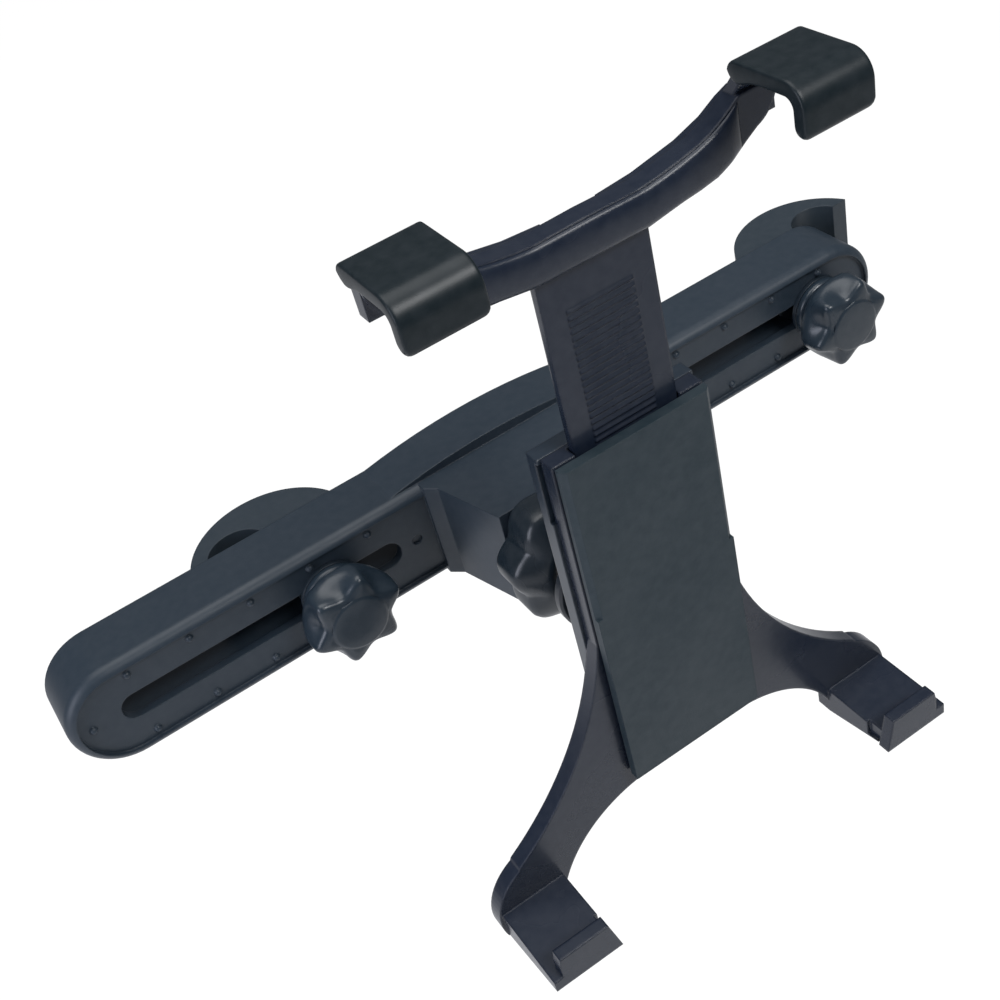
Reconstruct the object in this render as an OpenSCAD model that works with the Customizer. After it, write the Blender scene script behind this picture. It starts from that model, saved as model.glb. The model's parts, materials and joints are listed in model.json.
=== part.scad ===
// Headrest tablet mount: a slotted rail clamped to two headrest posts, a ball joint and a
// telescopic cradle. Millimetres. X is to the right, Y goes back to the headrest, Z is up.
// The origin is the middle of the rail's rear plane.

/* [Rail] */
// Length of the rail from end to end
rail_len = 245; // [240:0.5:256]
// Height of the rail
rail_h = 28.8; // [28.4:0.1:30]
// Depth of the rail from its front rim to its rear plane
rail_d = 17.5; // [17:0.1:19]
// Wall thickness of the rail
rail_wall = 2.4; // [2:0.1:2.6]
// Thickness of the slotted front web
web_t = 2.5; // [2:0.1:3]
// Depth of the slotted face below its rim
recess_d = 1.2; // [1:0.1:2]
// Radius of the rounded front edge
rail_edge_r = 3; // [2:0.1:4]
// Rise of the hump on the middle of the rail's top
hump_rise = 2.8; // [1:0.1:4]
// Half width of the hump
hump_half = 30; // [26:0.5:36]
// Distance from the middle to the inner end of each slot
slot_in = 32.5; // [32:0.1:34]
// Distance from a slot's outer end to the end of the rail
slot_end_gap = 13.3; // [13:0.1:15]
// Half height of the slots
slot_half = 3.7; // [3.6:0.1:4]
// Number of pips in each row
pip_count = 5; // [3:1:5]

/* [Boss and ball joint] */
// Half width of the boss where it leaves the rail
boss_half_root = 19.8; // [19:0.1:21]
// Half width of the boss at its front
boss_half_front = 14.5; // [14:0.1:15]
// Depth of the boss in front of the rail
boss_d = 22.8; // [22.6:0.1:23]
// Diameter of the ball
ball_dia = 22; // [21.8:0.1:22.2]
// Thickness of the friction pads around the ball
pad_t = 1.2; // [1.1:0.05:1.3]
// Distance from the boss's front to the ball's centre
ball_ahead = 6.7; // [6.6:0.1:6.8]
// Outer radius of the threaded nose
nose_r = 15.2; // [15:0.1:15.4]
// Number of lobes on the clamp nut
nut_lobes = 8; // [7:1:9]
// Outer radius of the clamp nut over its lobes
nut_r = 19.6; // [19.4:0.1:20.6]
// Thickness of the clamp nut
nut_d = 14; // [13.9:0.1:14.1]
// Distance from the ball's centre to the flange disc
disc_ahead = 12; // [12:0.1:13]
// Radius of the flange disc
disc_r = 14.5; // [14:0.1:15]
// Thickness of the flange disc
disc_t = 3; // [2.6:0.1:3.2]
// Radius of the stem between ball and disc
stem_r = 5; // [4.9:0.1:5]
// Radius of the pedestal on the cradle's back
pedestal_r = 13; // [12.6:0.1:13.4]
// Length of the pedestal
pedestal_len = 13.5; // [13:0.1:15]

/* [Post clamps] */
// Distance of the left hook bolt from its slot's inner end
left_bolt_in = 19.8; // [6:0.1:69]
// Distance of the right hook bolt from the rail's right end
right_bolt_out = 19.7; // [19.7:0.1:80]
// Thread diameter of the hook bolts
bolt_dia = 6; // [5.8:0.1:6.2]
// Width across the flats of the bolt head
head_flats = 10; // [9.6:0.1:10]
// Height of the bolt head
head_h = 4; // [3.5:0.1:4.2]
// Depth of the hook's back behind the rail
hook_d = 13.2; // [13:0.1:14]
// Radius of the hook's round back
hook_r = 21.3; // [21:0.1:22]
// Distance from the bolt to the middle of the round back
hook_arc_u = 7.2; // [7:0.05:7.4]
// Radius of the channel that holds the post
channel_r = 8; // [7.5:0.1:8]
// Depth of the channel behind the rail
channel_d = 5; // [4.8:0.1:5.4]
// Distance from the bolt to the middle of the channel
channel_u = 14.8; // [14.6:0.1:15.2]
// Height of the hook
hook_h = 28; // [27:0.1:28.4]
// Depth of the block that guides the hook in the rail
guide_d = 10; // [9.5:0.1:10.5]
// Radius of the knob over its lobes
knob_r = 12.5; // [12:0.1:13]
// Number of points on the knob
knob_lobes = 6; // [5:1:7]
// Depth of the lobed grip
grip_d = 10; // [9.6:0.1:11]
// Radius of the knob's flange and of its washer
flange_r = 8.5; // [8:0.1:9]
// Radius of the knob's neck
neck_r = 6; // [5.8:0.1:6.5]
// Length of the brass insert
insert_len = 8.4; // [8:0.1:9]

/* [Cradle body] */
// Height of the cradle's top above the rail's middle
body_top = 58.2; // [57:0.1:60]
// Height of the front cover
cover_h = 94.4; // [93:0.1:95]
// Width of the front cover
cover_w = 36; // [35.8:0.1:37]
// Thickness of the front cover
cover_t = 2.5; // [2.2:0.1:2.8]
// Depth of the rim between the cover and the leg plate
rim_d = 0.7; // [0.6:0.05:0.9]
// Thickness of the leg plate
leg_t = 4.2; // [4:0.1:4.4]
// Depth of the rear shell
shell_d = 3.9; // [3.6:0.1:4.6]
// Width of the rear shell
shell_w = 38; // [37.6:0.1:39]
// Distance from the cover's lower edge up to the shell's
shell_up = 4.8; // [4:0.1:6]

/* [Legs and feet] */
// Half width over the legs at their lower ends
leg_half = 60; // [58:0.5:61]
// Distance from the cradle's top down to the tips of the legs
leg_drop = 122; // [121:0.1:124]
// Height of the foot's floor above the tip of the leg
floor_up = 8.4; // [7:0.1:9]
// Depth of the foot in front of the leg plate
foot_reach = 22.2; // [20:0.1:26]
// Height of the foot's lip above its floor
lip_up = 6.5; // [5:0.1:9]
// Thickness of the foot's lip
lip_t = 3.2; // [2.8:0.1:3.6]

/* [Sliding arm] */
// Width of the ribbed tongue
tongue_w = 24.8; // [24:0.1:25.2]
// Thickness of the tongue
tongue_t = 2; // [1.8:0.1:2.2]
// Length of the tongue inside the cradle
tongue_in = 53; // [52:0.1:54]
// Height of the cross arm's lower edge above the cradle's top
arm_up = 38.6; // [38.6:0.1:44]
// Thickness of the cross arm at its middle
arm_t = 3.5; // [3:0.1:3.8]
// Spacing of the ribs
rib_pitch = 1.5; // [1.4:0.05:1.6]
// Height of the ribs
rib_rise = 0.4; // [0.3:0.05:0.45]
// Width of the ribbed patch
rib_w = 14.8; // [14:0.1:16]
// Distance from the middle to the inner side of each hook cap
cap_in = 31; // [30.5:0.1:31.5]
// Width of a hook cap
cap_w = 15.5; // [15:0.1:16]
// Height of the caps' tops above the cross arm's lower edge
cap_up = 24.3; // [24:0.1:25]
// Depth of a hook cap from its rear edge to its lip
cap_d = 17.2; // [16:0.1:19]
// Distance from the tongue's face to the hook cap's rear edge
cap_ahead = 5.3; // [5:0.1:5.6]
// Height of a hook cap's lip
cap_lip_h = 10.1; // [10:0.1:12]
// Thickness of a hook cap
cap_t = 3; // [2.9:0.1:3.3]

/* [Hidden] */
$fn = 64;

// Clearances: a running fit between turned faces, a loose gap between moving faces
fit = 0.05;
gap = 0.3;
// Overlap that makes two shapes of one solid join
join = 0.2;
// Length that surely cuts right through
through = 300;

// Rail
web_front = -rail_d + recess_d;
web_back = web_front + web_t;
slot_in_x = slot_in + slot_half;
slot_out_x = rail_len / 2 - slot_end_gap - slot_half;
pip_r = 1;
pip_first_x = slot_in + 6.8;
pip_last_x = rail_len / 2 - 18.4;
pip_pitch = (pip_last_x - pip_first_x) / (pip_count - 1);
pip_z = rail_h / 2 - 4.7;
end_pip_in = 5.8;
mark_x = slot_in - 4.8;
mark_r = 1.4;
pad_half = 9;
rib_t = 2.4;
mid_rib_x = 24;
// Two long walls behind each slot guide the hook's block and close the view through the slot
guide_wall_in = 6.2;
guide_wall_t = 1.6;

// Boss, ball and nut
boss_root_w = 2.8;
boss_front = -rail_d - boss_d;
ball_r = ball_dia / 2;
ball_y = boss_front - ball_ahead;
pad_in_r = ball_r + gap;
pad_out_r = pad_in_r + pad_t;
seat_r = pad_out_r + gap;
nose_len = 10.9;
nose_front = boss_front - nose_len;
nut_back = boss_front - gap;
nut_front = nut_back - nut_d;
nut_notch_r = nut_r - 2.3;
nut_lobe_r = 7;
nut_lobe_turn = 35;
nut_face_r = 12.4;
nut_slope_d = 4.5;
nut_eye_r = sqrt(seat_r * seat_r - pow(ball_y - nut_front, 2));
disc_back = ball_y - disc_ahead;
disc_front = disc_back - disc_t;
tenon_half = 3.4;
tenon_tip = disc_front - 5;
stud_screw_r = 2;
stud_head_r = 3.8;
stud_head_front = ball_y - 1;
stud_head_h = 3;

// Post clamps
left_bolt_x = slot_in + left_bolt_in;
right_bolt_x = rail_len / 2 - right_bolt_out;
hook_front = 0.15;
hook_mid_y = hook_d - hook_r;
channel_y = channel_d - channel_r;
pocket_y = hook_d - 2.7 - head_h;
guide_half_h = guide_wall_in - gap;
guide_half_w = 7;
guide_corner = 2.5;
washer_t = 1.2;
flange_t = 2.3;
neck_d = 2.1;
washer_front = web_front - fit - washer_t;
flange_back = washer_front - fit;
neck_back = flange_back - flange_t;
grip_back = neck_back - neck_d;
grip_front = grip_back - grip_d;
bolt_tip = grip_front + 1.8;
insert_r = 4.5;
knob_notch_r = knob_r - 2.2;
knob_turn = 70;

// Cradle body: depths run from the disc towards the tablet
shell_back = disc_front - pedestal_len;
plate_back = shell_back - shell_d;
plate_front = plate_back - leg_t;
cover_back = plate_front - rim_d;
cover_front = cover_back - cover_t;
cover_bottom = body_top - cover_h;
plate_half = cover_w / 2 + 0.2;
tongue_front = plate_front + 0.7;
tongue_back = tongue_front + tongue_t;
slot_back = tongue_back + gap;
channel_half = tongue_w / 2 + gap;
screw_x = (plate_half + channel_half) / 2;
screw_z = [body_top - 23.2, cover_bottom + 11.2];
shell_h = cover_h - shell_up;
cover_bevel_h = 40.7;
pedestal_wall = 2.2;
pedestal_core_r = 6.8;

// Legs: the outer edge is an arc that starts on the core's side, the crotch a second one
leg_tip = body_top - leg_drop;
crotch_z = cover_bottom - 4.2;
flare_z = body_top - 35.6;
flare_in = 1.4;
flare_a = leg_half - 11.26 - plate_half + flare_in;
flare_b = flare_z - leg_tip - 21.7;
flare_r = (flare_a * flare_a + flare_b * flare_b) / (2 * flare_a);
flare_x = plate_half + flare_r - flare_in;
hip_z = flare_z - sqrt(pow(flare_r, 2) - pow(flare_x - plate_half, 2));
ankle_r = 16;
crotch_x = 12.6;
floor_z = leg_tip + floor_up;
foot_in = leg_half - 18.5;
crotch_r = foot_in - crotch_x + 2.4;
foot_out = leg_half - 3;
lip_front = plate_front - foot_reach;
lip_top = floor_z + lip_up;
lip_bottom = floor_z - 3.4;

// Sliding arm
arm_z = body_top + arm_up;
arm_front = tongue_front - 1.2;
arm_back = tongue_front + arm_t;
rib_top = arm_z - 8.2;
rib_count = 43;
core_t = 1.4;
core_in = (cap_t - core_t) / 2;
core_x0 = cap_in + 3;
core_x1 = cap_in + cap_w - 3.5;
cap_top = arm_z + cap_up;
cap_back = tongue_front - cap_ahead;
cap_front = cap_back - cap_d;
cap_edge_r = 5;
bead_r = 2.1;
spring_t = 0.4;

// Front outlines (X and Z) run from y0 at the front to y1 at the back
module along_y(y0, y1) {
  translate([0, y1, 0]) rotate([90, 0, 0]) linear_extrude(y1 - y0) children();
}

// Side outlines (Y and Z) run from x0 to x1
module along_x(x0, x1) {
  translate([x0, 0, 0]) rotate([90, 0, 90]) linear_extrude(x1 - x0) children();
}

// Solids of revolution whose axis is Y: the profile's height is depth towards the front
module turned() {
  rotate([90, 0, 0]) rotate_extrude() children();
}

module rod_y(r, y0, y1) {
  translate([0, y1, 0]) rotate([90, 0, 0]) cylinder(r = r, h = y1 - y0);
}

module box(x0, x1, y0, y1, z0, z1) {
  translate([x0, y0, z0]) cube([x1 - x0, y1 - y0, z1 - z0]);
}

// What is drawn for the right side is mirrored for the left
module on_side(side) {
  if (side < 0) mirror([1, 0, 0]) children();
  else children();
}

module at_bolt(side) {
  on_side(side) translate([side < 0 ? left_bolt_x : right_bolt_x, 0, 0]) children();
}

// Points of an arc about (cx, cy), from angle a0 to a1 in n steps
function arc(cx, cy, r, a0, a1, n) =
  [for (i = [0:n]) let (a = a0 + (a1 - a0) * i / n) [cx + r * cos(a), cy + r * sin(a)]];

// Rail
module rail_outline(inset) {
  r = rail_h / 2 - inset;
  end_x = rail_len / 2 - rail_h / 2;
  translate([-end_x, -r]) square([2 * end_x, 2 * r]);
  for (side = [-1, 1]) translate([side * end_x, 0]) circle(r);
}

// Half of the rail's section, radius by depth, with its rounded front edge
module rail_half_section() {
  r = rail_h / 2;
  square([r, rail_d - rail_edge_r]);
  square([r - rail_edge_r, rail_d]);
  translate([r - rail_edge_r, rail_d - rail_edge_r]) circle(rail_edge_r);
}

module rail_blank() {
  end_x = rail_len / 2 - rail_h / 2;
  for (side = [-1, 1]) translate([side * end_x, 0, 0]) turned() intersection() {
    rail_half_section();
    square([rail_h, rail_d]);
  }
  for (flip = [0, 1]) mirror([0, 0, flip]) along_x(-end_x, end_x)
    mirror([1, 0]) rotate(90) mirror([0, 1]) intersection() {
      rail_half_section();
      square([rail_h, rail_d]);
    }
}

module rail_hump() {
  rise = hump_rise;
  r = (hump_half * hump_half + rise * rise) / (2 * rise);
  intersection() {
    translate([0, 0, rail_h / 2 + rise - r]) rod_y(r, -rail_d + rail_edge_r, 0, $fn = 240);
    box(-hump_half, hump_half, -rail_d, 0, 0, rail_h);
  }
}

module boss_block() {
  wide = boss_half_root + boss_root_w;
  bevel_y = -rail_d - boss_root_w;
  along_z = rail_h / 2;
  translate([0, 0, -along_z]) linear_extrude(rail_h) polygon([
    [-wide, web_back], [-wide, -rail_d], [-boss_half_root, bevel_y], [-boss_half_front, boss_front],
    [boss_half_front, boss_front], [boss_half_root, bevel_y], [wide, -rail_d], [wide, web_back]]);
}

module rail_slots() {
  for (side = [-1, 1]) on_side(side) along_y(-rail_d - 1, web_back + 1) {
    translate([slot_in_x, -slot_half]) square([slot_out_x - slot_in_x, 2 * slot_half]);
    translate([slot_in_x, 0]) circle(slot_half);
    translate([slot_out_x, 0]) circle(slot_half);
  }
}

module rail_cavity() {
  difference() {
    along_y(web_back, 1) rail_outline(rail_wall);
    box(-pad_half, pad_half, -rail_d, 2, -rail_h, rail_h);
    box(-mid_rib_x, mid_rib_x, -rail_d, 0, -rib_t / 2, rib_t / 2);
    for (side = [-1, 1]) on_side(side) {
      box(mid_rib_x, mid_rib_x + rib_t, -rail_d, 0, -rail_h, rail_h);
      for (flip = [0, 1]) mirror([0, 0, flip])
        box(mid_rib_x, rail_len / 2, -rail_d, 0, guide_wall_in, guide_wall_in + guide_wall_t);
    }
  }
  // Pockets that lighten the boss on both sides of its middle
  for (side = [-1, 1], z = [-1, 1]) on_side(side) mirror([0, 0, z < 0 ? 1 : 0])
    box(pad_half, boss_half_front, -rail_d - 8, web_back + join, rib_t / 2, rail_h / 2 - rail_wall);
}

module rail_pips() {
  for (side = [-1, 1]) {
    for (k = [0:pip_count - 1], z = [-pip_z, pip_z])
      translate([side * (pip_first_x + k * pip_pitch), web_front, z]) sphere(pip_r, $fn = 24);
    translate([side * (rail_len / 2 - end_pip_in), web_front, 0]) sphere(pip_r, $fn = 24);
  }
}

module rail() {
  color("#1b1e22") difference() {
    union() {
      difference() {
        rail_blank();
        along_y(-rail_d - 1, web_front) rail_outline(rail_wall);
      }
      rail_hump();
      boss_block();
      rod_y(nose_r, nose_front, boss_front + join);
      rail_pips();
    }
    rail_cavity();
    rail_slots();
    for (side = [-1, 1]) translate([side * mark_x, 0, 0]) rod_y(mark_r, web_front - 1, web_front + 0.6);
    translate([0, ball_y, 0]) sphere(seat_r);
    rod_y(seat_r, nose_front - 1, ball_y);
  }
}

// Clamp nut
module clamp_nut() {
  color("#202327") difference() {
    intersection() {
      along_y(nut_front, nut_back) {
        circle(nut_notch_r);
        for (i = [0:nut_lobes - 1]) rotate(nut_lobe_turn + 360 * i / nut_lobes)
          translate([nut_r - nut_lobe_r, 0]) circle(nut_lobe_r);
      }
      turned() polygon([[0, -nut_back], [nut_r - 1, -nut_back], [nut_r, -nut_back + 1],
                        [nut_r, -nut_front - nut_slope_d], [nut_face_r, -nut_front], [0, -nut_front]]);
    }
    rod_y(nose_r + fit, nose_front - gap, nut_back + 1);
    translate([0, ball_y, 0]) sphere(seat_r);
    rod_y(nut_eye_r, nut_front - 1, nut_front + 1);
  }
}

// Friction pads: two bands of a hollow sphere, one behind the ball and one in front of it
module ball_pad(low, high) {
  reach = 2 * seat_r;
  turned() translate([0, -ball_y]) intersection() {
    difference() {
      circle(pad_out_r);
      circle(pad_in_r);
    }
    polygon([[0, 0], [reach * cos(low), reach * sin(low)], [reach * cos(high), reach * sin(high)]]);
  }
}

module rear_pad() { color("#c9c7c0") ball_pad(-60, -20); }
module front_pad() { color("#c9c7c0") ball_pad(5, 34); }

// Ball stud: the nut goes over its stem first, then the disc; the screw inside the ball holds all
module tenon(half, y0, y1) {
  box(-half, half, y0, y1, -half, half);
}

// Half of the ball's section with its stem, the screw's bore and the bore for the screw's head
module stud_section() {
  difference() {
    union() {
      translate([0, -ball_y]) intersection() {
        circle(ball_r);
        translate([0, -ball_r]) square([ball_r, 2 * ball_r]);
      }
      translate([0, -ball_y]) square([stem_r, ball_y - disc_back]);
    }
    translate([-1, -ball_y - ball_r - 1]) square([stud_head_r + 1.2, ball_r + 2 + ball_y - stud_head_front]);
    translate([-1, -ball_y]) square([stud_screw_r + 1.2, through]);
  }
}

module ball_stud() {
  color("#17191c") {
    turned() stud_section();
    difference() {
      tenon(tenon_half, tenon_tip, disc_back + join);
      rod_y(stud_screw_r + 0.2, tenon_tip - 1, disc_back + 1);
    }
  }
}

module stud_disc() {
  edge = 0.6;
  color("#1b1d20") difference() {
    turned() polygon([[0, -disc_back], [disc_r - edge, -disc_back], [disc_r, edge - disc_back],
                      [disc_r, -disc_front - edge], [disc_r - edge, -disc_front], [0, -disc_front]]);
    tenon(tenon_half + fit, disc_front - 1, disc_back + 1);
  }
}

module stud_screw() {
  color("#8b8f93") {
    rod_y(stud_screw_r, shell_back, stud_head_front + join);
    difference() {
      rod_y(stud_head_r, stud_head_front, stud_head_front + stud_head_h);
      for (turn = [0, 90]) rotate([0, turn, 0])
        box(-2, 2, stud_head_front + 1.4, stud_head_front + stud_head_h + 1, -0.5, 0.5);
    }
  }
}

// Post hook, drawn with its bolt at the origin and its tip towards +X
module guide_outline() {
  w = guide_half_w;
  h = guide_half_h;
  c = guide_corner;
  polygon([[-w, c - h], [c - w, -h], [w - c, -h], [w, c - h],
           [w, h - c], [w - c, h], [c - w, h], [-w, h - c]]);
}

module post_hook() {
  difference() {
    union() {
      intersection() {
        translate([hook_arc_u, hook_mid_y, -hook_h / 2]) cylinder(r = hook_r, h = hook_h, $fn = 96);
        box(-hook_r, 2 * hook_r, hook_front, 2 * hook_r, -hook_h, hook_h);
      }
      along_y(-guide_d, hook_front + join) guide_outline();
    }
    translate([channel_u, channel_y, -hook_h]) cylinder(r = channel_r, h = 2 * hook_h);
    rod_y(bolt_dia / 2 + fit, -guide_d - 1, hook_d);
    translate([0, hook_d + 1, 0]) rotate([90, 0, 0])
      cylinder(r = (head_flats / 2 + 0.2) / cos(30), h = hook_d + 1 - pocket_y, $fn = 6);
  }
}

module left_post_hook() { color("#24282c") at_bolt(-1) post_hook(); }
module right_post_hook() { color("#24282c") at_bolt(1) post_hook(); }

module hook_bolt() {
  rod_y(bolt_dia / 2, bolt_tip, pocket_y + join);
  translate([0, pocket_y + head_h, 0]) rotate([90, 0, 0])
    cylinder(r = head_flats / 2 / cos(30), h = head_h, $fn = 6);
}

module left_hook_bolt() { color("#9a9da0") at_bolt(-1) hook_bolt(); }
module right_hook_bolt() { color("#9a9da0") at_bolt(1) hook_bolt(); }

module washer() {
  difference() {
    rod_y(flange_r, washer_front, washer_front + washer_t);
    rod_y(bolt_dia / 2 + gap, washer_front - 1, 0);
  }
}

module left_washer() { color("#2a2d31") at_bolt(-1) washer(); }
module right_washer() { color("#2a2d31") at_bolt(1) washer(); }

module knob() {
  lobe_r = 3.6;
  edge = 1.2;
  difference() {
    union() {
      rod_y(flange_r, neck_back, flange_back);
      rod_y(neck_r, grip_back - join, neck_back + join);
      intersection() {
        along_y(grip_front, grip_back) {
          circle(knob_notch_r);
          for (i = [0:knob_lobes - 1]) rotate(knob_turn + 360 * i / knob_lobes)
            translate([knob_r - lobe_r, 0]) circle(lobe_r);
        }
        turned() polygon([[0, -grip_back], [knob_r - edge, -grip_back], [knob_r, edge - grip_back],
          [knob_r, -edge - grip_front], [knob_r - edge, -grip_front], [0, -grip_front]]);
      }
    }
    rod_y(insert_r, flange_back - insert_len - gap, flange_back + 1);
    rod_y(bolt_dia / 2 + gap, bolt_tip - 0.5, flange_back + 1);
  }
}

module left_knob() { color("#22262b") at_bolt(-1) knob(); }
module right_knob() { color("#22262b") at_bolt(1) knob(); }

module knob_insert() {
  difference() {
    rod_y(insert_r, flange_back - gap - insert_len, flange_back - gap);
    rod_y(bolt_dia / 2 + fit, -through, 0);
  }
}

module left_knob_insert() { color("#b5944c") at_bolt(-1) knob_insert(); }
module right_knob_insert() { color("#b5944c") at_bolt(1) knob_insert(); }

// Rear shell: a shallow tub with a hollow pedestal for the stud and posts for the screws
module countersunk(r, head_r, y_head, y_tip) {
  rod_y(r, y_tip, y_head);
  translate([0, y_head, 0]) rotate([90, 0, 0]) cylinder(r1 = head_r, r2 = r, h = head_r - r);
}

module case_screw_places() {
  for (side = [-1, 1], z = screw_z) translate([side * screw_x, 0, z]) children();
}

module shell_outline(inset) {
  corner = 6;
  half = shell_w / 2 - inset;
  low = body_top - shell_h + inset;
  translate([-half, low + corner]) square([2 * half, body_top - inset - low - corner]);
  translate([-half + corner, low]) square([2 * half - 2 * corner, corner + join]);
  for (side = [-1, 1]) translate([side * (half - corner), low + corner]) circle(corner);
}

module pedestal_web() {
  half = pedestal_r - pedestal_wall + join;
  rod_y(pedestal_core_r, plate_back, disc_front - 1);
  for (turn = [0, 90]) rotate([0, turn, 0])
    box(-half, half, plate_back, disc_front - 1, -0.8, 0.8);
}

module rear_shell() {
  wall = 1.6;
  slot_h = 17;
  color("#1d2024") difference() {
    union() {
      difference() {
        union() {
          along_y(plate_back, shell_back) shell_outline(0);
          rod_y(pedestal_r, shell_back - join, disc_front);
        }
        along_y(plate_back - 1, shell_back - wall) shell_outline(wall);
        rod_y(pedestal_r - pedestal_wall, plate_back - 1, disc_front - pedestal_wall);
      }
      pedestal_web();
      case_screw_places() rod_y(2.6, plate_back, shell_back);
    }
    tenon(tenon_half + fit, tenon_tip - gap, disc_front + 1);
    rod_y(stud_screw_r + fit, shell_back - 0.5, disc_front);
    case_screw_places() countersunk(1.3, 2.5, shell_back, plate_back - 1);
    for (side = [-1, 1]) on_side(side)
      box(plate_half - 1, shell_w, plate_back - 1, plate_back + 1, body_top - slot_h, body_top - 1.2);
  }
}

// Leg plate: core with the tongue's channel, two legs, two feet
module leg_side() {
  above_hip = 4;
  difference() {
    union() {
      translate([0, crotch_z]) square([plate_half, body_top - crotch_z]);
      difference() {
        polygon(concat([[0, hip_z + above_hip], [plate_half + 3, hip_z + above_hip]],
          arc(leg_half - ankle_r, leg_tip + 5, ankle_r, 62, -18, 16), [[0, leg_tip]]));
        translate([flare_x, flare_z]) circle(flare_r, $fn = 200);
      }
    }
    polygon(concat([[-1, leg_tip - 1], [-1, crotch_z]],
      arc(crotch_x, crotch_z - crotch_r, crotch_r, 90, acos((foot_in - crotch_x) / crotch_r), 24),
      [[foot_in, leg_tip - 1]]));
  }
}

module leg_outline() {
  leg_side();
  mirror([1, 0]) leg_side();
}

module foot() {
  floor_front = lip_front + lip_t;
  difference() {
    union() {
      along_x(foot_in, foot_out + 2) polygon([[plate_front + join, floor_z], [lip_front, floor_z],
        [lip_front, lip_bottom], [plate_front + join, leg_tip]]);
      along_y(lip_front, floor_front) polygon([[foot_in - 1, lip_bottom], [foot_out + 0.7, lip_bottom],
        [foot_out - 1, lip_top], [foot_in + 1.2, lip_top]]);
    }
    box(foot_out - 0.5, leg_half + 5, lip_front - 1, floor_front, floor_z, lip_top + 1);
    box(foot_in - 2, foot_in + 0.8, floor_front, floor_front + 5, lip_bottom - 1, floor_z + 1);
  }
}

module leg_plate() {
  color("#191c20") difference() {
    union() {
      along_y(plate_front, plate_back) leg_outline();
      for (side = [-1, 1]) on_side(side) foot();
    }
    box(-channel_half, channel_half, plate_front - 1, slot_back, cover_bottom + 2, body_top + 1);
    case_screw_places() rod_y(1.4, plate_front - 1, plate_back + 1);
    rod_y(stud_screw_r + gap, slot_back - 1, plate_back + 1);
  }
}

// Front cover: a flat plate with rails on its back
module front_cover() {
  rail_in = channel_half + 0.4;
  rail_out = cover_w / 2 - 0.6;
  bevel = 1.2;
  color("#2b2e31") difference() {
    union() {
      along_y(cover_front, cover_back)
        translate([-cover_w / 2, cover_bottom]) square([cover_w, cover_h]);
      for (side = [-1, 1]) on_side(side)
        box(rail_in, rail_out, cover_back - join, plate_front, cover_bottom + 0.6, body_top - 0.6);
      box(-rail_in - join, rail_in + join, cover_back - join, plate_front, cover_bottom + 0.6,
          cover_bottom + 1.8);
    }
    case_screw_places() rod_y(1.1, cover_front + 1, plate_front + 1);
    for (side = [-1, 1]) on_side(side) translate([cover_w / 2, cover_front, 0]) rotate([0, 0, 45])
      box(-bevel / sqrt(2), bevel / sqrt(2), -bevel / sqrt(2), bevel / sqrt(2),
          body_top - cover_bevel_h, body_top + 1);
  }
}

module case_screws() {
  color("#8b8f93") case_screw_places() countersunk(1.1, 2.3, shell_back, cover_front + 1.2);
}

// Sliding arm: ribbed tongue, cross arm and the cores of its two hooks
module arm_outline() {
  lobe = arc(35, 15.5, 8, -70, 0, 12);
  for (side = [-1, 1]) mirror([side < 0 ? 1 : 0, 0]) translate([0, arm_z]) polygon(concat(
    [[0, 0], [12, 0], [16, 0.6], [20, 1.2], [24, 1.6], [28, 2.3], [31.5, 3.9], [35, 6.3]],
    lobe,
    [[34.6, 15.5], [32.6, 14.1], [30, 12.4], [27.5, 11.2], [25, 10.3],
     [20, 9.2], [15, 8.4], [11, 8], [0, 8.2]]));
}

// Ridge behind the cross arm that stiffens it
module arm_ridge() {
  translate([0, 0, arm_z]) along_y(arm_back - join, arm_back + 2)
    polygon([[6, 4], [14, 4.6], [24, 6], [32, 8], [37, 11.2], [37, 14.8], [34, 13.6], [30, 11.4],
             [24, 9.4], [14, 7.6], [6, 7]]);
}

module ribs() {
  half = rib_w / 2;
  teeth = [for (i = [0:rib_count - 1]) each [
    [tongue_front, rib_top - i * rib_pitch],
    [tongue_front - rib_rise, rib_top - (i + 0.35) * rib_pitch],
    [tongue_front, rib_top - (i + 0.7) * rib_pitch]]];
  along_x(-half, half) polygon(concat([[tongue_front + join, rib_top]], teeth,
    [[tongue_front + join, rib_top - rib_count * rib_pitch]]));
}

// Side outline of a hook's core: it leans forward from the arm and ends in a lip
module hook_core() {
  top = cap_top - core_in;
  front = cap_front + core_in;
  low = cap_top - cap_lip_h + 2.5;
  c = cap_edge_r - core_in;
  polygon([[arm_back, arm_z + 9], [tongue_front, arm_z + 9], [tongue_front, arm_z + 15],
           [cap_back, top - core_t], [front + c + 0.6, top - core_t], [front + core_t, top - c - 0.6],
           [front + core_t, low], [front, low], [front, top - c], [front + 0.3 * c, top - 0.3 * c],
           [front + c, top], [cap_back + 1.5, top], [arm_back, arm_z + 14.5]]);
}

module sliding_arm() {
  color("#23252f") union() {
    along_y(tongue_front, tongue_back) translate([-tongue_w / 2, body_top - tongue_in])
      square([tongue_w, tongue_in + arm_up + 1]);
    ribs();
    along_y(arm_front, arm_back) arm_outline();
    for (side = [-1, 1]) on_side(side) {
      along_x(core_x0, core_x1) hook_core();
      arm_ridge();
    }
  }
}

// Hook cap: a soft sleeve over the core
module cap_section() {
  translate([cap_back, cap_top - bead_r]) circle(bead_r);
  difference() {
    translate([cap_front, cap_top - cap_lip_h]) square([cap_d, cap_lip_h]);
    translate([cap_front + cap_t, cap_top - cap_lip_h - 1]) square([cap_d, cap_lip_h + 1 - cap_t]);
    difference() {
      translate([cap_front - 1, cap_top - cap_edge_r]) square([cap_edge_r + 1, cap_edge_r + 1]);
      translate([cap_front + cap_edge_r, cap_top - cap_edge_r]) circle(cap_edge_r);
    }
  }
}

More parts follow.
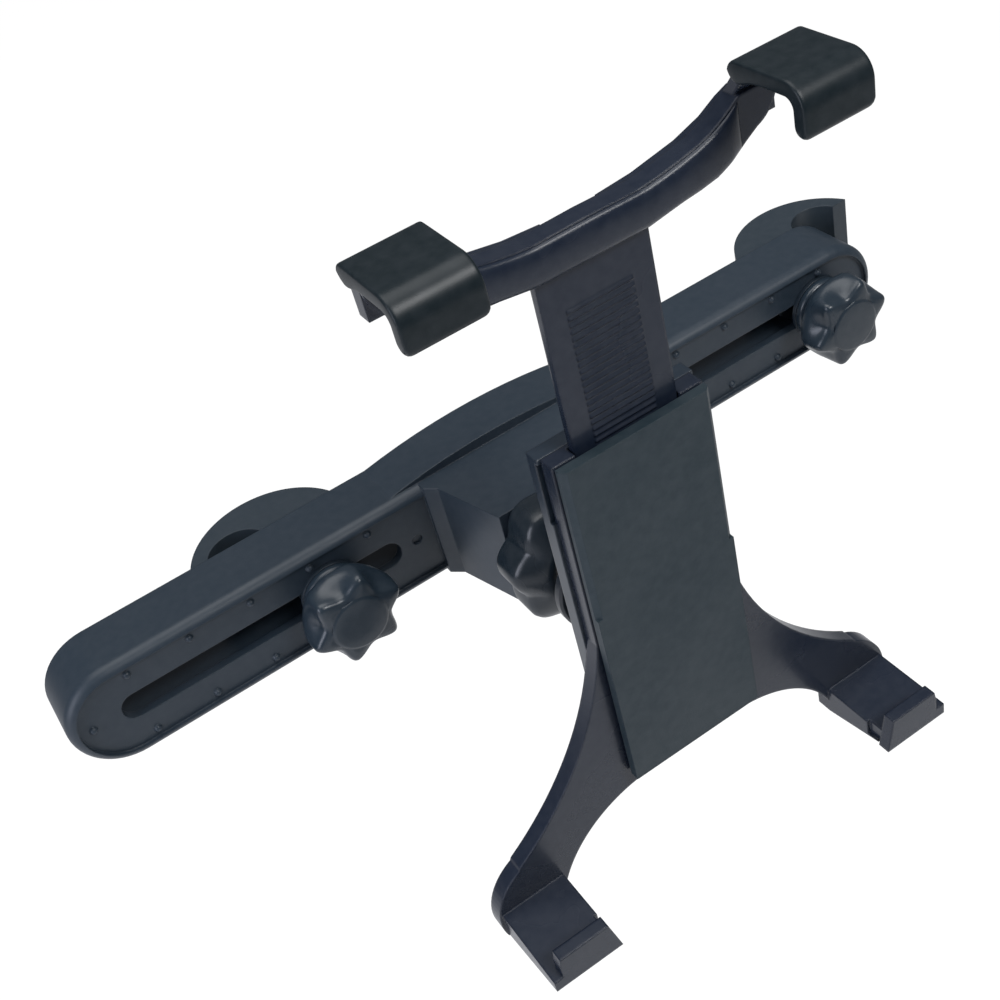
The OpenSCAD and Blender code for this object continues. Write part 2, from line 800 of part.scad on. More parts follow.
module hook_cap() {
  difference() {
    along_x(cap_in, cap_in + cap_w) cap_section();
    along_x(core_x0 - fit, core_x1 + fit) hook_core();
  }
}

module left_hook_cap() { color("#1a1e1f") on_side(-1) hook_cap(); }
module right_hook_cap() { color("#1a1e1f") on_side(1) hook_cap(); }

// Detent spring: a leaf under the cover whose bent end rides on the ribs
module detent_spring() {
  top = body_top - 5;
  nose_y = tongue_front - rib_rise - 0.1;
  leaf = cover_back + fit;
  color("#a5a8aa") along_x(-6, 6) polygon([
    [leaf, top - 22], [leaf + spring_t, top - 22], [leaf + spring_t, top - 5], [nose_y, top - 2.5],
    [leaf + spring_t, top], [leaf, top], [nose_y - spring_t, top - 2.5], [leaf, top - 5]]);
}

rail();
left_post_hook();
right_post_hook();
left_hook_bolt();
right_hook_bolt();
left_washer();
right_washer();
left_knob();
right_knob();
left_knob_insert();
right_knob_insert();
clamp_nut();
rear_pad();
front_pad();
ball_stud();
stud_disc();
stud_screw();
rear_shell();
leg_plate();
front_cover();
case_screws();
sliding_arm();
left_hook_cap();
right_hook_cap();
detent_spring();
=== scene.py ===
# %% [markdown]
# # A headrest tablet mount, dressed for a photograph
#
# The object is a slotted rail that clamps to the two posts of a car headrest, with a ball joint in its
# middle and a cradle that grips a tablet. The solids come from the CAD frame, in metres, and stay where
# they are. This script gives each visible surface its finish, and replaces the pieces whose soft, moulded
# shapes plain solids can't show.

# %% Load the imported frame
import json
import math

import bmesh
import bpy
import numpy as np
from mathutils import Matrix, Vector


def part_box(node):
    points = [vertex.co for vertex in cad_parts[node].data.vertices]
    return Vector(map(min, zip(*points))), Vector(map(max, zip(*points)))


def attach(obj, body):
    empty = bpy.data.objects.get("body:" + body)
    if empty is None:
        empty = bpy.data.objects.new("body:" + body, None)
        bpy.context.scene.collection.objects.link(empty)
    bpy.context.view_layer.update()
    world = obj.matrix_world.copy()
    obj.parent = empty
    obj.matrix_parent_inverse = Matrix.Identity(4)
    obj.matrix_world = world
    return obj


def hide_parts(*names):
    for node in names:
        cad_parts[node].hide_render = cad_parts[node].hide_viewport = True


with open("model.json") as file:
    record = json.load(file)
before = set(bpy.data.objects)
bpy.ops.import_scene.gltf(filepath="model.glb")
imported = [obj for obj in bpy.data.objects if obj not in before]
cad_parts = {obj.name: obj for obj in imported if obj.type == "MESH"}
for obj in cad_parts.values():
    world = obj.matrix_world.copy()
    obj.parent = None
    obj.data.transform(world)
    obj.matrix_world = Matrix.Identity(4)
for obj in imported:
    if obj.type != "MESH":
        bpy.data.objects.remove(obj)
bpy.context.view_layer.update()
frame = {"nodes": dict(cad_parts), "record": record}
NODES = frame["nodes"]
MM = 0.001


# %% [markdown]
# ## The camera
#
# The photograph was taken from the front left and above, with the camera rolled a little, so the rail runs
# uphill to the right. The camera's place and its three directions were worked out from points on the rail
# and the cradle whose distances are known. A matrix built from those three directions sets place, aim and
# roll in one step, which is safer than chasing three Euler angles.

# %% Place the camera
CAMERA_PLACE = Vector((-0.1032, -0.2689, 0.2262))
CAMERA_RIGHT = Vector((0.8257, -0.5213, -0.2156)).normalized()
CAMERA_UP = Vector((0.4894, 0.4717, 0.7335)).normalized()
LENS_MM = 50.01
SENSOR_MM = 36.0
CLIP_START = 0.01

camera_data = bpy.data.cameras.new("Camera")
camera_data.lens = LENS_MM
camera_data.sensor_width = SENSOR_MM
camera_data.clip_start = CLIP_START
camera = bpy.data.objects.new("Camera", camera_data)
bpy.context.scene.collection.objects.link(camera)
back = CAMERA_RIGHT.cross(CAMERA_UP)
turn = Matrix((CAMERA_RIGHT, CAMERA_UP, back)).transposed().to_4x4()
camera.matrix_world = Matrix.Translation(CAMERA_PLACE) @ turn
bpy.context.scene.camera = camera
print("camera looks along", [round(-v, 3) for v in back])


# %% [markdown]
# ## The floor and the light
#
# The mount is shown on plain white, as a catalogue picture is. A wide pale floor lies below the legs. The
# floor glows and the world is white only where the camera looks at them, directly or through something
# clear. What falls on the object is softer: a dim, slightly cool sky and three broad lamps. One stands high
# in front on the right, one hangs above for the sheen on every top face, and a cool one at the left lights
# the narrow sides.

# %% Floor and world
FLOOR_Z = -0.30
FLOOR_HALF = 6.0
FLOOR_PAINT = (0.9, 0.9, 0.9, 1)
FLOOR_GLOW = 1.08
FLOOR_GLOW_SHARE = 0.9
SKY_COLOUR = (0.93, 0.95, 1.0, 1)
SKY_STRENGTH = 0.20
WHITE = (1, 1, 1, 1)

scene = bpy.context.scene
scene.view_settings.view_transform = "Standard"

floor_mesh = bpy.data.meshes.new("floor")
corners = [(-FLOOR_HALF, -FLOOR_HALF), (FLOOR_HALF, -FLOOR_HALF),
           (FLOOR_HALF, FLOOR_HALF), (-FLOOR_HALF, FLOOR_HALF)]
floor_mesh.from_pydata([(x, y, FLOOR_Z) for x, y in corners], [], [(0, 1, 2, 3)])
floor = bpy.data.objects.new("floor", floor_mesh)
scene.collection.objects.link(floor)


def nodes_of(owner):
    """The nodes and links of a material or world, with the default nodes gone."""
    owner.use_nodes = True
    tree = owner.node_tree
    tree.nodes.clear()
    return tree.nodes, tree.links


def seen_ray(nodes, links):
    """1 where the camera or a see-through ray looks, 0 for the light that falls on things."""
    path = nodes.new("ShaderNodeLightPath")
    either = nodes.new("ShaderNodeMath")
    either.operation = "MAXIMUM"
    links.new(path.outputs["Is Camera Ray"], either.inputs[0])
    links.new(path.outputs["Is Transmission Ray"], either.inputs[1])
    return either.outputs[0]


floor_material = bpy.data.materials.new("pale_floor")
nodes, links = nodes_of(floor_material)
out = nodes.new("ShaderNodeOutputMaterial")
matt = nodes.new("ShaderNodeBsdfDiffuse")
matt.inputs["Color"].default_value = FLOOR_PAINT
glow = nodes.new("ShaderNodeEmission")
glow.inputs["Color"].default_value = WHITE
glow.inputs["Strength"].default_value = FLOOR_GLOW
both = nodes.new("ShaderNodeMixShader")
share = nodes.new("ShaderNodeMath")
share.operation = "MULTIPLY"
share.inputs[1].default_value = FLOOR_GLOW_SHARE
links.new(seen_ray(nodes, links), share.inputs[0])
links.new(share.outputs[0], both.inputs["Fac"])
links.new(matt.outputs[0], both.inputs[1])
links.new(glow.outputs[0], both.inputs[2])
links.new(both.outputs[0], out.inputs["Surface"])
floor.data.materials.append(floor_material)

world = bpy.data.worlds.new("studio")
scene.world = world
nodes, links = nodes_of(world)
out = nodes.new("ShaderNodeOutputWorld")
sky = nodes.new("ShaderNodeBackground")
sky.inputs["Color"].default_value = SKY_COLOUR
sky.inputs["Strength"].default_value = SKY_STRENGTH
white = nodes.new("ShaderNodeBackground")
white.inputs["Color"].default_value = WHITE
choose = nodes.new("ShaderNodeMixShader")
links.new(seen_ray(nodes, links), choose.inputs["Fac"])
links.new(sky.outputs[0], choose.inputs[1])
links.new(white.outputs[0], choose.inputs[2])
links.new(choose.outputs[0], out.inputs["Surface"])
print("floor at", FLOOR_Z, "m, sky strength", SKY_STRENGTH)


# %% Lamps
LAMP_AIM = Vector((0.0, -0.06, 0.03))
COOL = (0.84, 0.87, 1.0)


def softbox(name, place, width, height, watts, colour=(1, 1, 1)):
    """A rectangular lamp at place, in metres, that faces the middle of the mount."""
    data = bpy.data.lights.new(name, "AREA")
    data.shape = "RECTANGLE"
    data.size = width
    data.size_y = height
    data.energy = watts
    data.color = colour
    lamp = bpy.data.objects.new(name, data)
    lamp.location = place
    lamp.rotation_euler = (LAMP_AIM - Vector(place)).to_track_quat("-Z", "Y").to_euler()
    scene.collection.objects.link(lamp)
    return lamp


lamps = [softbox("lamp_key", (0.28, -0.68, 0.80), width=0.42, height=0.30, watts=7),
         softbox("lamp_top", (0.0, 0.05, 1.0), width=0.9, height=0.7, watts=7),
         softbox("lamp_left", (-0.95, -0.25, 0.30), width=0.4, height=0.8, watts=6, colour=COOL)]
print("lamps:", {lamp.name: lamp.data.energy for lamp in lamps})


# %% [markdown]
# ## The finishes
#
# Nearly everything is one black, slightly blue plastic, but no two mouldings come out of their tools the
# same: the cover has a fine spark texture, the arm is polished, the nut is in between. One node group makes
# what they share: a fine grain, a slow drift of gloss where the plastic flowed, and a little dust. Each
# material places the group with its own values. A Bevel node softens the light on sharp CAD edges, as a
# tool's small radii do.

# %% A node group for moulded plastic
NOISE_RANGE = (0.3, 0.7)
FLOW_SCALE = 38.0
SPECK_SCALE = 420.0
SPECK_DETAIL = 4.0
GRAIN_DETAIL = 2.0
GRAIN_SCALE = 1800.0

MOULDED_INPUTS = (("Plastic", "NodeSocketColor", (0.03, 0.03, 0.04, 1)),
                  ("Dust", "NodeSocketColor", (0.2, 0.2, 0.2, 1)),
                  ("Dust Amount", "NodeSocketFloat", 0.05),
                  ("Gloss Low", "NodeSocketFloat", 0.3),
                  ("Gloss High", "NodeSocketFloat", 0.4),
                  ("Grain Size", "NodeSocketFloat", GRAIN_SCALE))
MOULDED_OUTPUTS = (("Color", "NodeSocketColor"), ("Roughness", "NodeSocketFloat"),
                   ("Grain", "NodeSocketFloat"))


def noise(nodes, links, coords, scale, detail=3.0):
    """The value of a noise at coords; a larger scale gives finer spots."""
    node = nodes.new("ShaderNodeTexNoise")
    node.inputs["Scale"].default_value = scale
    node.inputs["Detail"].default_value = detail
    links.new(coords, node.inputs["Vector"])
    return node.outputs["Fac"]


def spread(nodes, links, value, low, high):
    """value from NOISE_RANGE, where most of a noise lies, to low..high, each a number or an output."""
    node = nodes.new("ShaderNodeMapRange")
    node.inputs["From Min"].default_value, node.inputs["From Max"].default_value = NOISE_RANGE
    for socket, limit in (("To Min", low), ("To Max", high)):
        if isinstance(limit, (int, float)):
            node.inputs[socket].default_value = limit
        else:
            links.new(limit, node.inputs[socket])
    links.new(value, node.inputs["Value"])
    return node.outputs["Result"]


def make_moulded_group():
    """The group MouldedSkin: colour with dust on it, a drifting roughness and a fine grain."""
    group = bpy.data.node_groups.new("MouldedSkin", "ShaderNodeTree")
    for name, kind, default in MOULDED_INPUTS:
        socket = group.interface.new_socket(name=name, in_out="INPUT", socket_type=kind)
        socket.default_value = default
    for name, kind in MOULDED_OUTPUTS:
        group.interface.new_socket(name=name, in_out="OUTPUT", socket_type=kind)
    nodes, links = group.nodes, group.links
    given = nodes.new("NodeGroupInput")
    result = nodes.new("NodeGroupOutput")
    place = nodes.new("ShaderNodeTexCoord").outputs["Object"]

    grain = nodes.new("ShaderNodeTexNoise")
    grain.inputs["Detail"].default_value = GRAIN_DETAIL
    links.new(place, grain.inputs["Vector"])
    links.new(given.outputs["Grain Size"], grain.inputs["Scale"])

    flow = noise(nodes, links, place, FLOW_SCALE)
    gloss = spread(nodes, links, flow, given.outputs["Gloss Low"], given.outputs["Gloss High"])

    speck = noise(nodes, links, place, SPECK_SCALE, SPECK_DETAIL)
    dusted = nodes.new("ShaderNodeMath")
    dusted.operation = "MULTIPLY"
    links.new(spread(nodes, links, speck, 0.0, 1.0), dusted.inputs[0])
    links.new(given.outputs["Dust Amount"], dusted.inputs[1])
    tone = nodes.new("ShaderNodeMix")
    tone.data_type = "RGBA"
    links.new(dusted.outputs[0], tone.inputs["Factor"])
    links.new(given.outputs["Plastic"], tone.inputs["A"])
    links.new(given.outputs["Dust"], tone.inputs["B"])

    links.new(tone.outputs["Result"], result.inputs["Color"])
    links.new(gloss, result.inputs["Roughness"])
    links.new(grain.outputs["Fac"], result.inputs["Grain"])
    return group


MOULDED = make_moulded_group()
print(MOULDED.name, "has", len(MOULDED.nodes), "nodes")


# %% Plastics, rubber and metal
DUST_COLOUR = (0.16, 0.17, 0.19, 1)
COAT_ROUGHNESS = 0.12
BUMP_DEPTH = 0.3 * MM
BEVEL_SAMPLES = 6
STREAK_SCALE = 900.0
STREAK_DETAIL = 2.0
STREAK_ROUGHNESS = 0.08


def moulded(name, colour, gloss, grain, grain_size=GRAIN_SCALE, dust=0.04, coat=0.0, edge=0.4,
            specular=0.5):
    """A plastic: colour in linear RGB, gloss as a range of roughness, grain as the bump's strength, edge as
    the radius in mm that the light sees on sharp edges."""
    material = bpy.data.materials.new(name)
    nodes, links = nodes_of(material)
    out = nodes.new("ShaderNodeOutputMaterial")
    skin = nodes.new("ShaderNodeBsdfPrincipled")
    group = nodes.new("ShaderNodeGroup")
    group.node_tree = MOULDED
    group.inputs["Plastic"].default_value = (*colour, 1)
    group.inputs["Dust"].default_value = DUST_COLOUR
    group.inputs["Dust Amount"].default_value = dust
    group.inputs["Gloss Low"].default_value, group.inputs["Gloss High"].default_value = gloss
    group.inputs["Grain Size"].default_value = grain_size
    soft_edge = nodes.new("ShaderNodeBevel")
    soft_edge.samples = BEVEL_SAMPLES
    soft_edge.inputs["Radius"].default_value = edge * MM
    bump = nodes.new("ShaderNodeBump")
    bump.inputs["Strength"].default_value = grain
    bump.inputs["Distance"].default_value = BUMP_DEPTH
    links.new(group.outputs["Color"], skin.inputs["Base Color"])
    links.new(group.outputs["Roughness"], skin.inputs["Roughness"])
    links.new(group.outputs["Grain"], bump.inputs["Height"])
    links.new(soft_edge.outputs["Normal"], bump.inputs["Normal"])
    links.new(bump.outputs["Normal"], skin.inputs["Normal"])
    skin.inputs["Specular IOR Level"].default_value = specular
    skin.inputs["Coat Weight"].default_value = coat
    skin.inputs["Coat Roughness"].default_value = COAT_ROUGHNESS
    links.new(skin.outputs[0], out.inputs["Surface"])
    return material


def metal(name, colour, rough):
    """A machined metal, a little uneven in its polish."""
    material = bpy.data.materials.new(name)
    nodes, links = nodes_of(material)
    out = nodes.new("ShaderNodeOutputMaterial")
    skin = nodes.new("ShaderNodeBsdfPrincipled")
    skin.inputs["Base Color"].default_value = (*colour, 1)
    skin.inputs["Metallic"].default_value = 1.0
    place = nodes.new("ShaderNodeTexCoord").outputs["Object"]
    streak = noise(nodes, links, place, STREAK_SCALE, STREAK_DETAIL)
    polish = spread(nodes, links, streak, rough - STREAK_ROUGHNESS, rough + STREAK_ROUGHNESS)
    links.new(polish, skin.inputs["Roughness"])
    links.new(skin.outputs[0], out.inputs["Surface"])
    return material


PLASTICS = {
    "rail_plastic": dict(colour=(0.017, 0.027, 0.039), gloss=(0.36, 0.48), grain=0.03, edge=0.5,
                         specular=0.34),
    "hook_plastic": dict(colour=(0.020, 0.030, 0.040), gloss=(0.36, 0.48), grain=0.04, specular=0.38),
    "washer_plastic": dict(colour=(0.010, 0.017, 0.025), gloss=(0.36, 0.46), grain=0.03, specular=0.35),
    "knob_plastic": dict(colour=(0.011, 0.020, 0.030), gloss=(0.26, 0.36), grain=0.03, edge=0.3,
                         specular=0.42),
    "nut_plastic": dict(colour=(0.008, 0.014, 0.020), gloss=(0.26, 0.38), grain=0.03, edge=0.3,
                        specular=0.38),
    "ball_plastic": dict(colour=(0.014, 0.015, 0.017), gloss=(0.25, 0.32), grain=0.01),
    "pad_nylon": dict(colour=(0.55, 0.53, 0.48), gloss=(0.4, 0.5), grain=0.01),
    "disc_plastic": dict(colour=(0.010, 0.014, 0.019), gloss=(0.30, 0.40), grain=0.02, specular=0.40),
    "shell_plastic": dict(colour=(0.013, 0.022, 0.034), gloss=(0.26, 0.36), grain=0.02, edge=0.5,
                          specular=0.40),
    "leg_plastic": dict(colour=(0.009, 0.014, 0.026), gloss=(0.22, 0.32), grain=0.02, coat=0.10, edge=0.8,
                        specular=0.26),
    "cover_plastic": dict(colour=(0.014, 0.026, 0.034), gloss=(0.46, 0.56), grain=0.10, grain_size=2600.0,
                          dust=0.06, edge=0.3, specular=0.28),
    "arm_plastic": dict(colour=(0.008, 0.013, 0.025), gloss=(0.20, 0.30), grain=0.02, coat=0.12, edge=0.8,
                        specular=0.26),
    "cap_rubber": dict(colour=(0.004, 0.009, 0.012), gloss=(0.32, 0.40), grain=0.02, edge=0.3,
                       specular=0.24),
}
METALS = {
    "bolt_steel": dict(colour=(0.55, 0.56, 0.58), rough=0.3),
    "screw_steel": dict(colour=(0.5, 0.51, 0.53), rough=0.34),
    "spring_steel": dict(colour=(0.6, 0.61, 0.62), rough=0.25),
    "insert_brass": dict(colour=(0.75, 0.55, 0.25), rough=0.28),
}
SKINS = {name: moulded(name, **values) for name, values in PLASTICS.items()}
SKINS.update((name, metal(name, **values)) for name, values in METALS.items())

SLOT_OF = {s["node"]: s["material_slot"] for s in frame["record"]["subparts"]}
BODY_OF = {n: body for body, names in frame["record"]["behaviour"]["bodies"].items() for n in names}
for name, node in NODES.items():
    node.data.materials.clear()
    node.data.materials.append(SKINS[SLOT_OF[name]])
print("finished", len(NODES), "CAD nodes in", len(SKINS), "finishes")


# %% [markdown]
# ## From a formula to a mesh
#
# The new pieces are grids of points: one direction runs along the piece and the other around it. Numpy works
# out the whole grid at once. A helper turns such a grid into a closed mesh, with quads between neighbours.
# Each end is closed by a fan of triangles, or by strips where the ring is long and thin.

# %% Grid to mesh
def grid_faces(nu, nv):
    """Quads between neighbours of a grid of nu rings with nv points each, where a ring joins itself."""
    u = np.arange(nu - 1)[:, None]
    v = np.arange(nv)[None, :]
    after = (v + 1) % nv
    quads = [u * nv + v, u * nv + after, (u + 1) * nv + after, (u + 1) * nv + v]
    return np.stack(quads, -1).reshape(-1, 4).tolist()


def fan_ends(rows):
    """The middle point of the first and of the last ring, and the triangles from it to its ring."""
    nu, nv = rows.shape[:2]
    around = np.arange(nv)
    faces = []
    for pole, start in ((nu * nv, 0), (nu * nv + 1, (nu - 1) * nv)):
        fan = [start + around, start + (around + 1) % nv, np.full(nv, pole)]
        faces += np.stack(fan, -1).tolist()
    return np.stack([rows[0].mean(0), rows[-1].mean(0)]), faces


def strip_ends(nu, nv):
    """Quads that close the first and the last ring, each from the ring's one long side to the other."""
    a = np.arange(nv // 2)
    faces = []
    for start in (0, (nu - 1) * nv):
        strip = [start + a, start + a + 1, start + (nv - a - 1) % nv, start + (nv - a) % nv]
        faces += np.stack(strip, -1).tolist()
    return faces


def dress(name, points, faces, node, sharp, weld, extra=False):
    """A mesh piece with the finish and the body of a CAD node. sharp is in degrees and weld in mm. The piece
    replaces the node, or with extra it lies on it."""
    mesh = bpy.data.meshes.new(name)
    mesh.from_pydata(points.tolist(), [], faces)
    work = bmesh.new()
    work.from_mesh(mesh)
    bmesh.ops.remove_doubles(work, verts=work.verts, dist=weld * MM)
    bmesh.ops.recalc_face_normals(work, faces=work.faces)
    work.to_mesh(mesh)
    work.free()
    mesh.shade_smooth()
    mesh.set_sharp_from_angle(angle=math.radians(sharp))
    piece = bpy.data.objects.new(name, mesh)
    scene.collection.objects.link(piece)
    mesh.materials.append(SKINS[SLOT_OF[node]])
    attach(piece, BODY_OF[node])
    if not extra:
        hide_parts(node)
    print(name, "has", len(mesh.polygons), "faces")
    return piece


def skin_from_grid(name, rows, node, sharp, close_ends=True, extra=False):
    """rows[u][v] are points in metres; v runs around and joins itself."""
    points, faces = rows.reshape(-1, 3), grid_faces(*rows.shape[:2])
    if close_ends:
        poles, fans = fan_ends(rows)
        points, faces = np.concatenate([points, poles]), faces + fans
    return dress(name, points, faces, node, sharp, weld=0.002, extra=extra)


# %% [markdown]
# ## The star knobs
#
# A knob is a turned shape whose radius swells and shrinks around its axis. So it is a profile of radius
# against depth, and each ring of that profile is mixed with a scooped ring: none of it on the round flange,
# the neck and the back of the grip, all of it at the front rim, where six hollows are scooped out between
# blunt points. The grip's face is slightly crowned and carries a low round plate.

# %% Lobed, turned pieces
def pointed(angle, count, turn, soft=0.30):
    """1 on a point and 0 in the middle of a hollow: 1 - |sin(count * (angle - turn) / 2)|, with the point
    rounded by soft."""
    wave = np.sqrt(np.sin(count * (angle - turn) / 2) ** 2 + soft ** 2) - soft
    return 1 - wave / (math.sqrt(1 + soft ** 2) - soft)


def blunt(angle, count, turn, power=0.7):
    """1 on a lobe and 0 in a notch: (0.5 + 0.5 cos(count * (angle - turn))) ** power."""
    return (0.5 + 0.5 * np.cos(count * (angle - turn))) ** power


def turned_rings(profile, axis_x, lobe, notch):
    """profile rows: (radius, depth y, share of the lobes), in mm; lobe is one value for each angle.
    Radius = r * (1 - notch * share * (1 - lobe)), laid out around an axis along Y."""
    r, y, share = np.array(profile, float).T * np.array([[MM], [MM], [1.0]])
    angle = np.linspace(0, 2 * math.pi, len(lobe), endpoint=False)
    radius = r[:, None] * (1 - notch * share[:, None] * (1 - lobe[None, :]))
    return np.stack([axis_x + radius * np.cos(angle), np.broadcast_to(y[:, None], radius.shape),
                     radius * np.sin(angle)], -1)


def round_corner(r0, y0, r1, y1, steps, shares):
    """Quarter ellipse from (r0, y0) to (r1, y1), leaving along y and arriving along r."""
    t = np.linspace(0, 1, steps + 1)
    return [(r1 + (r0 - r1) * math.cos(a * math.pi / 2), y0 + (y1 - y0) * math.sin(a * math.pi / 2),
             shares[0] + (shares[1] - shares[0]) * a) for a in t]


KNOB_POINTS = 6
KNOB_TURN = math.radians(70)
KNOB_SCOOP = 0.28
KNOB_REACH = 12.5
KNOB_GRIP_DEPTH = 10.0
KNOB_FLANGE_R = 8.5
KNOB_NECK_R = 6.0
KNOB_BORE_R = 3.4
KNOB_PLATE_R = 7.0
KNOB_MIDDLE_RINGS = (3.0, 0.2)
KNOB_ANGLES = 216
KNOB_SHARP = 35


def make_knob(side):
    """Flange, neck, back of the grip, rim, crowned face and plate, from the back to the front, in mm."""
    low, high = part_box(f"{side}_knob")
    axis_x = (low[0] + high[0]) / 2
    back, face = high[1] / MM, low[1] / MM
    reach, flange, neck, plate = KNOB_REACH, KNOB_FLANGE_R, KNOB_NECK_R, KNOB_PLATE_R
    grip = face + KNOB_GRIP_DEPTH
    profile = [(KNOB_BORE_R, back, 0), (flange - 0.3, back, 0), (flange, back - 0.3, 0)]
    profile += round_corner(flange, back - 1.2, neck + 0.4, back - 2.6, 5, (0, 0))
    profile += [(neck, grip + 0.8, 0), (neck + 0.6, grip + 0.1, 0), (reach - 3.2, grip, 0.05),
                (reach - 1.6, grip - 0.5, 0.08), (reach - 0.6, grip - 1.5, 0.14),
                (reach - 0.1, grip - 2.8, 0.26), (reach, grip - 4.0, 0.42),
                (reach, grip - 5.2, 0.62), (reach - 0.05, grip - 6.4, 0.82)]
    profile += round_corner(reach - 0.1, face + 2.8, reach - 2.1, face + 0.75, 6, (0.92, 1.0))
    profile += [(plate + 2.4, face + 0.5, 0.9), (plate + 1.2, face + 0.42, 0.45),
                (plate + 0.6, face + 0.4, 0.1), (plate + 0.3, face + 0.36, 0),
                (plate, face + 0.1, 0), (plate - 0.4, face, 0)]
    profile += [(r, face, 0) for r in KNOB_MIDDLE_RINGS]
    angle = np.linspace(0, 2 * math.pi, KNOB_ANGLES, endpoint=False)
    rings = turned_rings(profile, axis_x, pointed(angle, KNOB_POINTS, KNOB_TURN), KNOB_SCOOP)
    return skin_from_grid(f"{side}_knob_skin", rings, f"{side}_knob", KNOB_SHARP)


for side in ("left", "right"):
    make_knob(side)


# %% [markdown]
# ## The clamp nut
#
# The nut that squeezes the ball is a ring with eight blunt lobes to grip. Its front slopes back like a
# saucer. The inside is plain: a bore, a step and the round eye that the stem comes through. The profile
# therefore runs all the way round the ring's section, outside first and then back through the bore.

# %% Make the clamp nut
NUT_LOBES = 8
NUT_TURN = math.radians(35)
NUT_NOTCH = 0.115
NUT_LOBE_OVER_BOX = 0.1
NUT_BORE_R = 15.4
NUT_EYE_R = 10.4
NUT_ANGLES = 256
NUT_SHARP = 38


def make_nut():
    """Back, lobed rim, sloping front, eye and bore of the nut, in mm."""
    low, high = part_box("clamp_nut")
    back, face = high[1] / MM, low[1] / MM
    reach = max(high[0], high[2]) / MM + NUT_LOBE_OVER_BOX
    profile = [(NUT_BORE_R, back, 0), (reach - 3.2, back, 0.8), (reach - 1.4, back - 0.3, 1),
               (reach - 0.4, back - 1.0, 1), (reach, back - 2.2, 1), (reach, face + 5.4, 1),
               (reach - 0.4, face + 4.4, 1), (reach - 1.4, face + 3.5, 0.95), (reach - 3.2, face + 2.3, 0.7),
               (14.6, face + 1.2, 0.3), (13.0, face + 0.35, 0), (12.2, face, 0),
               (NUT_EYE_R + 0.5, face, 0), (NUT_EYE_R, face + 0.3, 0), (NUT_EYE_R, face + 2.0, 0),
               (NUT_BORE_R, face + 3.2, 0), (NUT_BORE_R, back, 0)]
    angle = np.linspace(0, 2 * math.pi, NUT_ANGLES, endpoint=False)
    rings = turned_rings(profile, 0.0, blunt(angle, NUT_LOBES, NUT_TURN), NUT_NOTCH)
    return skin_from_grid("clamp_nut_skin", rings, "clamp_nut", NUT_SHARP, close_ends=False)


make_nut()


# %% [markdown]
# ## The soft hook caps
#
# Each upper hook wears a soft cap: a plate that comes forward from a rounded bead, bends down and ends in a
# lip. Its side outline is a centre line with a thickness that falls to nothing in a half circle at both
# ends, and fattens at the bead. That outline is swept sideways, drawn in a little near both ends so that
# no edge is sharp, and the lip's corners are cut round by ending the centre line sooner there.

# %% Make the caps
CAP_HALF = 1.5 * MM
CAP_BEAD = 2.1 * MM
CAP_BEAD_SPREAD = 1.6
CAP_BEND = 5.0 * MM
CAP_CORNER = 1.4 * MM
CAP_EDGE = 0.5 * MM
CAP_STEPS = 72
CAP_WIDTHS = 26
CAP_SHARP = 55


def cap_centre_line(low, high, share):
    """Points and normals (y, z) along the cap's middle, from the bead to the lip's end, at each share of its
    length, with the distance to each point and the whole length."""
    bend = CAP_BEND - CAP_HALF
    top = high[2] - CAP_HALF
    back, front = high[1], low[1] + CAP_HALF
    flat = back - (front + bend)
    drop = (top - bend) - low[2]
    total = flat + bend * math.pi / 2 + drop
    s = share * total
    turn = np.clip((s - flat) / bend, 0, math.pi / 2)
    y = np.where(s < flat, back - s, front + bend - bend * np.sin(turn))
    past = np.maximum(s - flat - bend * math.pi / 2, 0)
    z = np.where(s < flat, top, top - bend + bend * np.cos(turn)) - past
    normal = np.stack([-np.sin(turn), np.cos(turn)], -1)
    return np.stack([y, z], -1), normal, s, total


def eased(count):
    """count values from 0 to 1, closer together at both ends: 0.5 - 0.5 cos."""
    return 0.5 - 0.5 * np.cos(np.linspace(0, math.pi, count))


def cut_by(radius, inward):
    """How far a round corner of that radius stays back at a distance inward from the side."""
    return radius - math.sqrt(max(radius ** 2 - max(radius - inward, 0) ** 2, 0))


def round_end(t):
    """0 at the tip and 1 from t = 1 on, along a quarter circle."""
    return np.sqrt(np.clip(1 - (1 - np.minimum(t, 1)) ** 2, 0, 1))


def make_cap(side):
    """Sections across the cap: centre line plus and minus thickness, lowered where the bead is fat."""
    low, high = (np.array(c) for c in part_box(f"{side}_hook_cap"))
    width = high[0] - low[0]
    along = eased(CAP_STEPS)
    total = cap_centre_line(low, high, along)[3]
    rows = []
    for share in eased(CAP_WIDTHS):
        inward = min(share, 1 - share) * width
        reach = total - cut_by(CAP_CORNER, inward)
        line, normal, s, total = cap_centre_line(low, high, along * reach / total)
        fatter = (CAP_BEAD - CAP_HALF) * np.exp(-((s - CAP_BEAD) / (CAP_BEAD_SPREAD * CAP_BEAD)) ** 2)
        thick = (CAP_HALF + fatter) * round_end((reach - s) / CAP_HALF) * round_end(s / CAP_BEAD)
        thick = np.maximum(thick - cut_by(CAP_EDGE, inward), 0)
        outer = line + normal * (thick - fatter)[:, None]
        inner = line - normal * (thick + fatter)[:, None]
        loop = np.concatenate([outer, inner[::-1][1:-1]])
        rows.append(np.column_stack([np.full(len(loop), low[0] + share * width), loop]))
    rows = np.array(rows)
    faces = grid_faces(*rows.shape[:2]) + strip_ends(*rows.shape[:2])
    return dress(f"{side}_cap_skin", rows.reshape(-1, 3), faces, f"{side}_hook_cap", CAP_SHARP, weld=0.004)


for side in ("left", "right"):
    make_cap(side)


